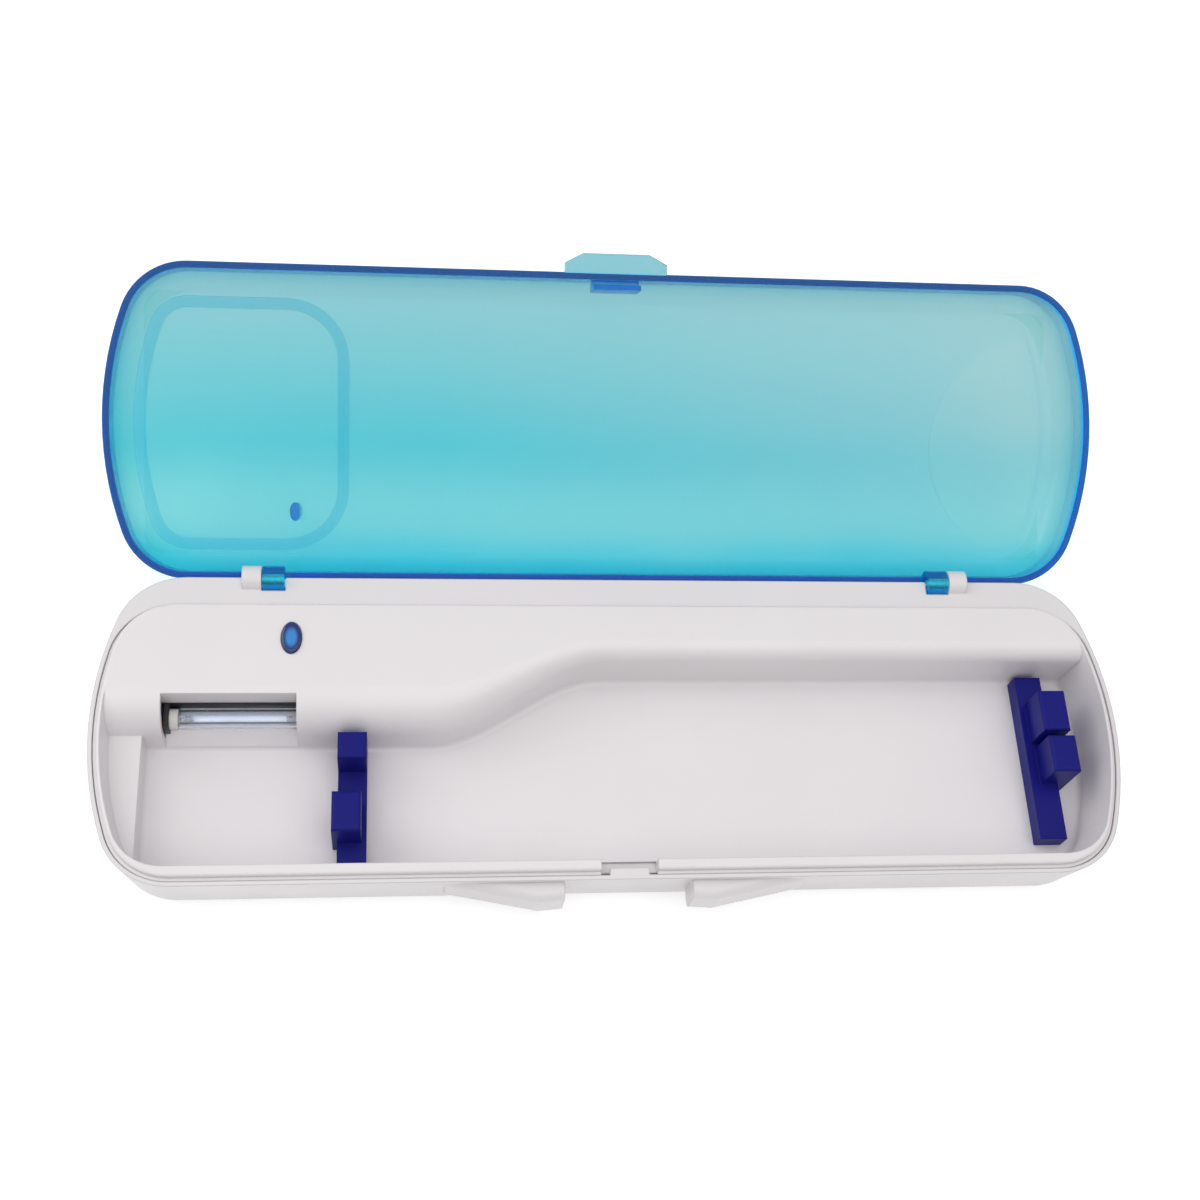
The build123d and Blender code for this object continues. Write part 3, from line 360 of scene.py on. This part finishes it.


# The lid is one plastic, and its tint is varied to paint light and shade. From the hinge to the
# front it goes from painted shade, deeper where the rear wall is seen steeply, through painted
# bands for reflections, and it pales to the right, painted light. The post, the bead of the raised
# ring (painted shade), the rim (painted deeper blue for its edge-on light path) and the hinge
# barrels (painted light) have painted tints of their own.
def lidTintWithPaintedLight(tree):
    look = aquaLid
    wall = lidPlace(tree, look["alongWall"], look["alongWallStart"])
    above = lidPlace(tree, look["aboveRim"], look["aboveRimStart"])
    across = lidPlace(tree, (1, 0, 0), 0.0)
    sideways = mathNode(tree, "ABSOLUTE", across)
    along = mathNode(tree, "ADD", wall, noiseBand(tree, look["unevenness"]))

    # painted shade near the hinge, paled in painted bands towards the front
    tint = look["paintedHingeShade"]
    for band in look["paintedBands"]:
        share = mapRange(tree, along, *band["along"], 0.0, 1.0, band["smooth"])
        tint = mixColour(tree, share, tint, band["tint"])
    # painted light: the tint pales towards the right
    right = look["right"]
    share = allOf(tree, mapRange(tree, across, *right["across"], 0.0, right["most"]),
                  mapRange(tree, along, *right["along"], right["least"], 1.0))
    tint = mixColour(tree, share, tint, right["tint"])

    middle, post, bead = look["middle"], look["post"], look["bead"]
    strip = allOf(tree, over(tree, wall, middle["along"][0]),
                  under(tree, wall, middle["along"][1]))
    inMiddle = allOf(tree, strip, under(tree, sideways, middle["reach"]))
    # painted light: a tint of its own on the post
    onPost = allOf(tree, inMiddle, under(tree, above, post["top"]))
    tint = mixColour(tree, onPost, tint, post["tint"])
    # painted shade on the bead of the raised ring
    onBead = allOf(tree, strip, under(tree, sideways, bead["reach"]),
                   over(tree, above, post["top"]), under(tree, above, bead["top"]))
    tint = mixColour(tree, onBead, tint, bead["shade"], "MULTIPLY")

    rim, barrel = look["rim"], look["barrel"]
    # painted: a deeper blue on the rim for its edge-on light path
    front = rim["frontWall"]
    inside = mapRange(tree, wall, front, front + rim["fade"], 1.0, 0.0)
    onRim = allOf(tree, mapRange(tree, above, *rim["above"], 1.0, 0.0, True),
                  mathNode(tree, "SUBTRACT", inside, inMiddle, True))
    tint = mixColour(tree, onRim, tint, rim["tint"])
    # painted light: a brighter aqua on the hinge barrels
    onBarrel = allOf(tree, over(tree, sideways, barrel["span"][0]),
                     under(tree, sideways, barrel["span"][1]),
                     under(tree, wall, barrel["along"]), under(tree, above, barrel["above"]))
    return mixColour(tree, onBarrel, tint, barrel["tint"])


def lidMaterial():
    look = aquaLid
    material, tree, shader = newMaterial("Clear aqua plastic")
    tree.links.new(lidTintWithPaintedLight(tree), shader.inputs["Base Color"])
    tree.links.new(noiseBand(tree, look["frost"]), shader.inputs["Roughness"])
    addBump(tree, shader, objectNoise(tree, look["grain"]), look["grainStrength"],
            look["grainDepth"])
    setValues(shader, {"IOR": look["ior"], "Transmission Weight": look["transmission"]})
    path = addNode(tree, "ShaderNodeLightPath")
    clearWhere(tree, shader, path.outputs["Is Shadow Ray"], look["shadowTint"])
    absorb = addNode(tree, "ShaderNodeVolumeAbsorption",
                     {"Color": (*look["absorb"], 1), "Density": look["density"]})
    tree.links.new(absorb.outputs["Volume"], tree.nodes["Material Output"].inputs["Volume"])
    return material


# finishes by material slot
plastics = {
    "white_shell": dict(
        colour=(0.76, 0.731, 0.743), shade=(0.735, 0.705, 0.718), rubbed=(0.80, 0.78, 0.79),
        grain=5200.0, depth=0.12, gloss=(0.30, 0.40), scuffs=0.15, edge=0.0005, rub=0.25),
    "white_tray": dict(
        colour=(0.80, 0.768, 0.782), shade=(0.775, 0.742, 0.757), rubbed=(0.83, 0.81, 0.82),
        grain=6400.0, depth=0.08, gloss=(0.29, 0.38), scuffs=0.12, edge=0.0005, rub=0.2),
    "royal_blue": dict(
        colour=(0.008, 0.008, 0.20), shade=(0.006, 0.006, 0.145), rubbed=(0.02, 0.02, 0.28),
        grain=5200.0, depth=0.1, gloss=(0.34, 0.5), scuffs=0.4, edge=0.0004, rub=0.4, shine=0.15),
    "button_blue": dict(
        colour=(0.03, 0.26, 0.66), shade=(0.02, 0.16, 0.50), rubbed=(0.08, 0.30, 0.75),
        grain=6000.0, depth=0.05, gloss=(0.10, 0.2), scuffs=0.2, edge=0.0004, rub=0.1, coat=0.6,
        # painted shade: the button darkens in a ring towards its edge
        ring={"centre": (-0.0759, 0.0208, 0.024), "reach": (0.0023, 0.0039, 1.0),
              "from": 0.35, "to": 0.8, "colour": (0.002, 0.014, 0.14)}),
    "lamp_cap": dict(
        colour=(0.74, 0.73, 0.70), shade=(0.62, 0.60, 0.56), rubbed=(0.8, 0.8, 0.78),
        grain=7000.0, depth=0.3, gloss=(0.5, 0.65), scuffs=0.4, edge=0.0003, rub=0.4),
    "black_frame": dict(
        colour=(0.018, 0.018, 0.021), shade=(0.010, 0.010, 0.012), rubbed=(0.06, 0.06, 0.065),
        grain=4200.0, depth=0.25, gloss=(0.35, 0.5), scuffs=0.5, edge=0.0003, rub=0.4),
    "black_part": dict(
        colour=(0.022, 0.022, 0.024), shade=(0.012, 0.012, 0.014), rubbed=(0.07, 0.07, 0.07),
        grain=6000.0, depth=0.3, gloss=(0.45, 0.6), scuffs=0.3, edge=0.0003, rub=0.4),
    "ferrite": dict(
        colour=(0.045, 0.045, 0.047), shade=(0.028, 0.028, 0.03), rubbed=(0.12, 0.12, 0.12),
        grain=5200.0, depth=0.5, gloss=(0.55, 0.75), scuffs=0.6, edge=0.0004, rub=0.6),
    "capacitor_sleeve": dict(
        colour=(0.02, 0.02, 0.05), shade=(0.012, 0.012, 0.03), rubbed=(0.08, 0.08, 0.12),
        grain=4000.0, depth=0.15, gloss=(0.2, 0.3), scuffs=0.3, edge=0.0003, rub=0.3),
    "wire_red": dict(
        colour=(0.42, 0.02, 0.02), shade=(0.30, 0.012, 0.012), rubbed=(0.55, 0.08, 0.08),
        grain=5000.0, depth=0.2, gloss=(0.35, 0.5), scuffs=0.3, edge=0.0002, rub=0.2),
    "wire_white": dict(
        colour=(0.68, 0.68, 0.66), shade=(0.58, 0.58, 0.55), rubbed=(0.75, 0.75, 0.74),
        grain=5000.0, depth=0.2, gloss=(0.35, 0.5), scuffs=0.3, edge=0.0002, rub=0.2),
}

metals = {
    "steel": dict(
        colour=(0.60, 0.60, 0.62), shade=(0.46, 0.46, 0.47), rubbed=(0.75, 0.75, 0.76),
        brush=900.0, stretch=(1, 1, 0.12), gloss=(0.18, 0.38)),
    "mirror_metal": dict(
        colour=(0.78, 0.79, 0.81), shade=(0.68, 0.69, 0.71), rubbed=(0.85, 0.85, 0.85),
        brush=1500.0, stretch=(0.05, 1, 1), gloss=(0.28, 0.40)),
    "copper": dict(
        colour=(0.62, 0.27, 0.11), shade=(0.42, 0.15, 0.06), rubbed=(0.8, 0.4, 0.2),
        brush=2600.0, stretch=(1, 0.06, 1), gloss=(0.25, 0.45)),
    "cell_jacket": dict(
        colour=(0.10, 0.26, 0.55), shade=(0.07, 0.19, 0.44), rubbed=(0.7, 0.7, 0.72),
        brush=1400.0, stretch=(0.2, 1, 1), gloss=(0.25, 0.4)),
}

# the lamp's clear tube, faintly smeared
quartz = {
    "colour": (0.93, 0.95, 0.98),
    "shade": (0.86, 0.89, 0.95),
    "shadowTint": (0.9, 0.92, 0.95),
    "clouds": {"scale": 90.0, "detail": 3.0, "roughness": 0.5},
    "smear": {"scale": 300.0, "detail": 4.0, "roughness": 0.6,
              "from": (0.4, 0.75), "to": (0.02, 0.14)},
    "ior": 1.46,
    "transmission": 0.95,
}


def quartzMaterial():
    look = quartz
    material, tree, shader = newMaterial("Clear quartz")
    tint = mixColour(tree, objectNoise(tree, look["clouds"]), look["colour"], look["shade"])
    tree.links.new(tint, shader.inputs["Base Color"])
    tree.links.new(noiseBand(tree, look["smear"]), shader.inputs["Roughness"])
    setValues(shader, {"IOR": look["ior"], "Transmission Weight": look["transmission"]})
    path = addNode(tree, "ShaderNodeLightPath")
    clearWhere(tree, shader, path.outputs["Is Shadow Ray"], look["shadowTint"])
    return material


# green board, with a brick pattern for the copper runs under its lacquer
board = {
    "runs": {"Scale": 330.0, "Mortar Size": 0.09, "Brick Width": 0.9, "Row Height": 0.45,
             "Color1": (0.012, 0.13, 0.055, 1), "Color2": (0.016, 0.16, 0.07, 1),
             "Mortar": (0.035, 0.25, 0.12, 1)},
    "shade": (0.01, 0.10, 0.045),
    "clouds": {"scale": 240.0, "detail": 3.0, "roughness": 0.5,
               "from": (0.4, 0.7), "to": (0.0, 0.4)},
    "runStrength": 0.3,
    "runDepth": 0.00004,
    "gloss": 0.32,
}


def boardMaterial():
    look = board
    material, tree, shader = newMaterial("Board green")
    place = addNode(tree, "ShaderNodeTexCoord")
    runs = addNode(tree, "ShaderNodeTexBrick", look["runs"])
    tree.links.new(place.outputs["Object"], runs.inputs["Vector"])
    colour = mixColour(tree, noiseBand(tree, look["clouds"]), runs.outputs["Color"], look["shade"])
    tree.links.new(colour, shader.inputs["Base Color"])
    addBump(tree, shader, runs.outputs["Fac"], look["runStrength"], look["runDepth"])
    setValues(shader, {"Roughness": look["gloss"]})
    return material


finishes = {"aqua_clear": lidMaterial(), "lamp_glass": quartzMaterial(),
            "board_green": boardMaterial()}
for slot, look in plastics.items():
    finishes[slot] = plasticMaterial(slot.replace("_", " ").capitalize(), look)
for slot, look in metals.items():
    finishes[slot] = metalMaterial(slot.replace("_", " ").capitalize(), look)
print("finishes made:", len(finishes))

for part in frame["record"]["subparts"]:
    mesh = nodes[part["node"]].data
    mesh.materials.clear()
    mesh.materials.append(finishes[part["material_slot"]])
print("nodes dressed")


mergeDistance = 0.000001
sharpAngle = math.radians(38)  # a steeper edge stays hard


def vertsOf(made):
    return [item for item in made if isinstance(item, bmesh.types.BMVert)]


# the edges or faces at some vertices, each once and always in the same order
def linkedTo(verts, kind):
    return list(dict.fromkeys(item for vert in verts for item in getattr(vert, kind)))


def finishPiece(shape, name, body, slot):
    bmesh.ops.remove_doubles(shape, verts=shape.verts, dist=mergeDistance)
    bmesh.ops.recalc_face_normals(shape, faces=shape.faces)
    for face in shape.faces:
        face.smooth = True
    for edge in shape.edges:
        edge.smooth = edge.calc_face_angle(0.0) < sharpAngle
    mesh = bpy.data.meshes.new(name)
    shape.to_mesh(mesh)
    shape.free()
    piece = bpy.data.objects.new(name, mesh)
    bpy.context.scene.collection.objects.link(piece)
    mesh.materials.append(finishes[slot])
    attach(piece, body)
    return piece


# hollow quartz tube of the lamp
lampTube = {"wall": 0.00045, "steps": 64}


def buildLampTube():
    low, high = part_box("uv_lamp")
    outer = (high[2] - low[2]) / 2
    inner = outer - lampTube["wall"]
    centre = Vector((0, (low[1] + high[1]) / 2, (low[2] + high[2]) / 2))
    shape = bmesh.new()
    section = ((low[0], inner), (low[0], outer), (high[0], outer), (high[0], inner))
    corners = [shape.verts.new((x, r, 0)) for x, r in section]
    edges = [shape.edges.new((corners[i], corners[(i + 1) % 4])) for i in range(4)]
    bmesh.ops.spin(shape, geom=corners + edges, cent=(0, 0, 0), axis=(1, 0, 0),
                   angle=2 * math.pi, steps=lampTube["steps"], use_merge=True)
    bmesh.ops.translate(shape, verts=shape.verts, vec=centre)
    tube = finishPiece(shape, "lampTube", "case", "lamp_glass")
    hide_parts("uv_lamp")
    return centre


# heater coil and its two supports near each end of the tube
lampHeater = {
    "turns": 6,
    "pitch": 0.00033,
    "radius": 0.00055,
    "wire": 0.00010,
    "wireSides": 8,
    "stepsPerTurn": 16,
    "setback": 0.0026,
    "spread": 0.0006,
    "supportShare": 1.5,
    "supportSides": 10,
}


def buildLampHeaters(centre):
    look = lampHeater
    low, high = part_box("uv_lamp")
    shape = bmesh.new()
    reach = look["turns"] * look["pitch"]
    steps = look["turns"] * look["stepsPerTurn"]
    support = look["wire"] * look["supportShare"]
    turn = Matrix.Rotation(math.pi / 2, 4, "Y")
    for end, side in ((low[0], 1), (high[0], -1)):
        start = end + side * look["setback"]
        at = Matrix.Translation((start, look["radius"], 0))
        ring = bmesh.ops.create_circle(shape, segments=look["wireSides"], radius=look["wire"],
                                       matrix=at)["verts"]
        bmesh.ops.spin(shape, geom=ring + linkedTo(ring, "link_edges"), cent=(0, 0, 0),
                       axis=(1, 0, 0), dvec=(side * reach / steps, 0, 0),
                       angle=2 * math.pi * look["turns"], steps=steps)
        openEnds = [edge for edge in shape.edges if edge.is_boundary]
        bmesh.ops.holes_fill(shape, edges=openEnds, sides=0)
        for spread in (-look["spread"], look["spread"]):
            length = look["setback"] + (reach if spread > 0 else 0)
            at = Matrix.Translation((end + side * length / 2, spread, 0))
            bmesh.ops.create_cone(shape, cap_ends=True, segments=look["supportSides"],
                                  radius1=support, radius2=support, depth=length,
                                  matrix=at @ turn)
    bmesh.ops.translate(shape, verts=shape.verts, vec=centre)
    finishPiece(shape, "lampHeaters", "case", "steel")


# screws with a cross recess, seen from below
crossScrew = {
    "places": [(-0.1121, -0.0160), (-0.1065, 0.0210), (-0.0232, 0.0262), (0.1075, 0.0236)],
    "headBottom": 0.0003,
    "headTop": 0.0018,
    "headRadius": 0.0025,
    "headCells": 5,
    "outerShare": 0.95,
    "innerShare": 0.5,
    "innerRounding": 0.5,
    "recess": 0.0009,
    "recessReach": 1.4,
    "recessTaper": 0.7,
    "shaftRadius": 0.00115,
    "shaftTip": 0.6,
    "shaftTop": 0.0115,
    "shaftSides": 20,
    "threads": 14,
    "grooveShare": 0.76,
}


# a square grid drawn out to a disc, walled and capped, with its middle cross sunk
def addScrewHead(shape, x, y):
    look = crossScrew
    radius = look["headRadius"]
    cells = look["headCells"]
    grid = bmesh.ops.create_grid(shape, x_segments=cells, y_segments=cells, size=radius)["verts"]
    for vert in grid:
        across = max(abs(vert.co.x), abs(vert.co.y))
        if across > radius * look["outerShare"]:
            vert.co = vert.co.normalized() * radius
        elif across > radius * look["innerShare"]:
            vert.co = vert.co.lerp(vert.co.normalized() * across, look["innerRounding"])
    cell = radius * 2 / cells
    cross = []
    for face in linkedTo(grid, "link_faces"):
        middle = face.calc_center_median()
        offAxis = min(abs(middle.x), abs(middle.y))
        if offAxis < cell / 2 and middle.length < cell * look["recessReach"]:
            cross.append(face)
    rim = [edge for edge in linkedTo(grid, "link_edges") if edge.is_boundary]
    wall = bmesh.ops.extrude_edge_only(shape, edges=rim)["geom"]
    wallVerts = vertsOf(wall)
    bmesh.ops.translate(shape, verts=wallVerts, vec=(0, 0, look["headTop"] - look["headBottom"]))
    topEdges = [item for item in wall if isinstance(item, bmesh.types.BMEdge)]
    bmesh.ops.holes_fill(shape, edges=topEdges, sides=0)
    sunkVerts = vertsOf(bmesh.ops.extrude_face_region(shape, geom=cross)["geom"])
    bmesh.ops.delete(shape, geom=cross, context="FACES")
    bmesh.ops.translate(shape, verts=sunkVerts, vec=(0, 0, look["recess"]))
    taper = Matrix.Diagonal((look["recessTaper"], look["recessTaper"], 1, 1))
    bmesh.ops.transform(shape, verts=sunkVerts, matrix=taper)
    head = [vert for vert in grid if vert.is_valid] + wallVerts + sunkVerts
    bmesh.ops.translate(shape, verts=head, vec=(x, y, look["headBottom"]))


# a tapered shaft, cut into rings of which every second one is drawn in as a groove
def addScrewShaft(shape, x, y):
    look = crossScrew
    length = look["shaftTop"] - look["headTop"]
    shaft = bmesh.ops.create_cone(
        shape, cap_ends=True, segments=look["shaftSides"], radius1=look["shaftRadius"],
        radius2=look["shaftRadius"] * look["shaftTip"], depth=length,
        matrix=Matrix.Translation((x, y, look["headTop"] + length / 2)))["verts"]
    upright = [edge for edge in linkedTo(shaft, "link_edges")
               if abs(edge.verts[0].co.z - edge.verts[1].co.z) > length / 2]
    rings = look["threads"] * 2
    made = bmesh.ops.subdivide_edges(shape, edges=upright, cuts=rings - 1)["geom_inner"]
    for vert in vertsOf(made):
        if round((vert.co.z - look["headTop"]) / length * rings) % 2:
            vert.co.x = x + (vert.co.x - x) * look["grooveShare"]
            vert.co.y = y + (vert.co.y - y) * look["grooveShare"]


def buildCrossScrews():
    shape = bmesh.new()
    for x, y in crossScrew["places"]:
        addScrewHead(shape, x, y)
        addScrewShaft(shape, x, y)
    screws = finishPiece(shape, "crossScrews", "case", "steel")
    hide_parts("case_screws")


# raised ribs for the finger on the battery door's rear wall
doorGrip = {
    "count": 9,
    "centre": 0.03635,
    "spacing": 0.0026,
    "width": 0.0011,
    "height": 0.0042,
    "shortening": 0.012,
    "proud": 0.0005,
    "rounding": 0.7,
    "roundingSteps": 4,
    "level": 0.0078,
    "wallY": 0.03551,
    "lean": 0.1046,
}


def buildDoorGrip():
    look = doorGrip
    shape = bmesh.new()
    lean = Matrix.Rotation(-look["lean"], 4, "X")
    for index in range(look["count"]):
        offset = index - (look["count"] - 1) / 2
        tall = look["height"] * (1 - look["shortening"] * offset * offset)
        size = Matrix.Diagonal((look["width"], look["proud"] * 2, tall, 1))
        at = Matrix.Translation((look["centre"] + offset * look["spacing"], look["wallY"],
                                 look["level"]))
        rib = bmesh.ops.create_cube(shape, size=1.0, matrix=at @ lean @ size)["verts"]
        bmesh.ops.bevel(shape, geom=linkedTo(rib, "link_edges"),
                        offset=look["proud"] * look["rounding"], segments=look["roundingSteps"],
                        profile=0.5, material=-1, affect="EDGES")
    finishPiece(shape, "doorGrip", "battery_door", "white_shell")


buildLampHeaters(buildLampTube())
buildCrossScrews()
buildDoorGrip()
print("lamp tube, heaters, screws and door grip made")


# The floor lies just below the part and is see-through from below. Seen straight or through
# clear plastic, the floor and the world are lifted towards white.
studio = {
    "floorSize": 6.0,
    "floorLevel": -0.0002,
    "floorColour": (0.93, 0.93, 0.93),
    "floorRoughness": 0.9,
    "floorLift": 0.38,
    "worldLevel": 0.56,
    "topLamp": {"place": (0.05, -0.18, 0.93), "size": 1.1, "power": 3.8},
    "sideLamp": {"place": (-0.75, 0.35, 0.65), "size": 0.7, "power": 2.7},
}
white = (1, 1, 1)


def floorMaterial():
    material, tree, shader = newMaterial("Studio floor")
    setValues(shader, {"Base Color": (*studio["floorColour"], 1),
                       "Roughness": studio["floorRoughness"], "Specular IOR Level": 0.0,
                       "Emission Color": (*white, 1)})
    path = addNode(tree, "ShaderNodeLightPath")
    seen = mathNode(tree, "MAXIMUM", path.outputs["Is Camera Ray"], path.outputs["Is Glossy Ray"])
    seen = mathNode(tree, "MAXIMUM", seen, path.outputs["Is Transmission Ray"])
    lift = mathNode(tree, "MULTIPLY", seen, studio["floorLift"])
    tree.links.new(lift, shader.inputs["Emission Strength"])
    back = addNode(tree, "ShaderNodeNewGeometry")
    clearWhere(tree, shader, back.outputs["Backfacing"], white)
    return material


def buildFloor():
    shape = bmesh.new()
    bmesh.ops.create_grid(shape, x_segments=1, y_segments=1, size=studio["floorSize"] / 2,
                          matrix=Matrix.Translation((0, 0, studio["floorLevel"])))
    mesh = bpy.data.meshes.new("studioFloor")
    shape.to_mesh(mesh)
    shape.free()
    floor = bpy.data.objects.new("studioFloor", mesh)
    bpy.context.scene.collection.objects.link(floor)
    mesh.materials.append(floorMaterial())


def buildLamps():
    for name in ("topLamp", "sideLamp"):
        look = studio[name]
        light = bpy.data.lights.new(name, "AREA")
        light.shape = "SQUARE"
        light.size = look["size"]
        light.energy = look["power"]
        lamp = bpy.data.objects.new(name, light)
        bpy.context.scene.collection.objects.link(lamp)
        lamp.location = look["place"]
        lamp.rotation_euler = (-Vector(look["place"])).to_track_quat("-Z", "Y").to_euler()


def buildWorld():
    world = bpy.data.worlds.new("Studio world")
    world.use_nodes = True
    tree = world.node_tree
    background = tree.nodes["Background"]
    setValues(background, {"Color": (*white, 1)})
    path = addNode(tree, "ShaderNodeLightPath")
    seen = mathNode(tree, "MAXIMUM", path.outputs["Is Camera Ray"],
                    path.outputs["Is Transmission Ray"])
    level = mapRange(tree, seen, 0.0, 1.0, studio["worldLevel"], 1.0)
    tree.links.new(level, background.inputs["Strength"])
    bpy.context.scene.world = world


# the photograph's view, solved on the case's outline
cameraView = {
    "place": (-0.05324, -0.13739, 0.37879),
    "aim": (-0.003458, 0.031653, 0.022),
    "roll": 15.098,
    "lens": 49.817,
    "sensor": 36.0,
    "nearest": 0.01,
    "farthest": 20.0,
}


def buildCamera():
    look = cameraView
    data = bpy.data.cameras.new("viewCamera")
    data.lens = look["lens"]
    data.sensor_width = look["sensor"]
    data.clip_start = look["nearest"]
    data.clip_end = look["farthest"]
    camera = bpy.data.objects.new("viewCamera", data)
    bpy.context.scene.collection.objects.link(camera)
    place, aim = Vector(look["place"]), Vector(look["aim"])
    turn = (aim - place).to_track_quat("-Z", "Y").to_matrix().to_4x4()
    roll = Matrix.Rotation(math.radians(look["roll"]), 4, "Z")
    camera.matrix_world = Matrix.Translation(place) @ turn @ roll
    bpy.context.scene.camera = camera


buildFloor()
buildLamps()
buildWorld()
buildCamera()
bpy.context.scene.view_settings.view_transform = "Standard"
print("studio ready")
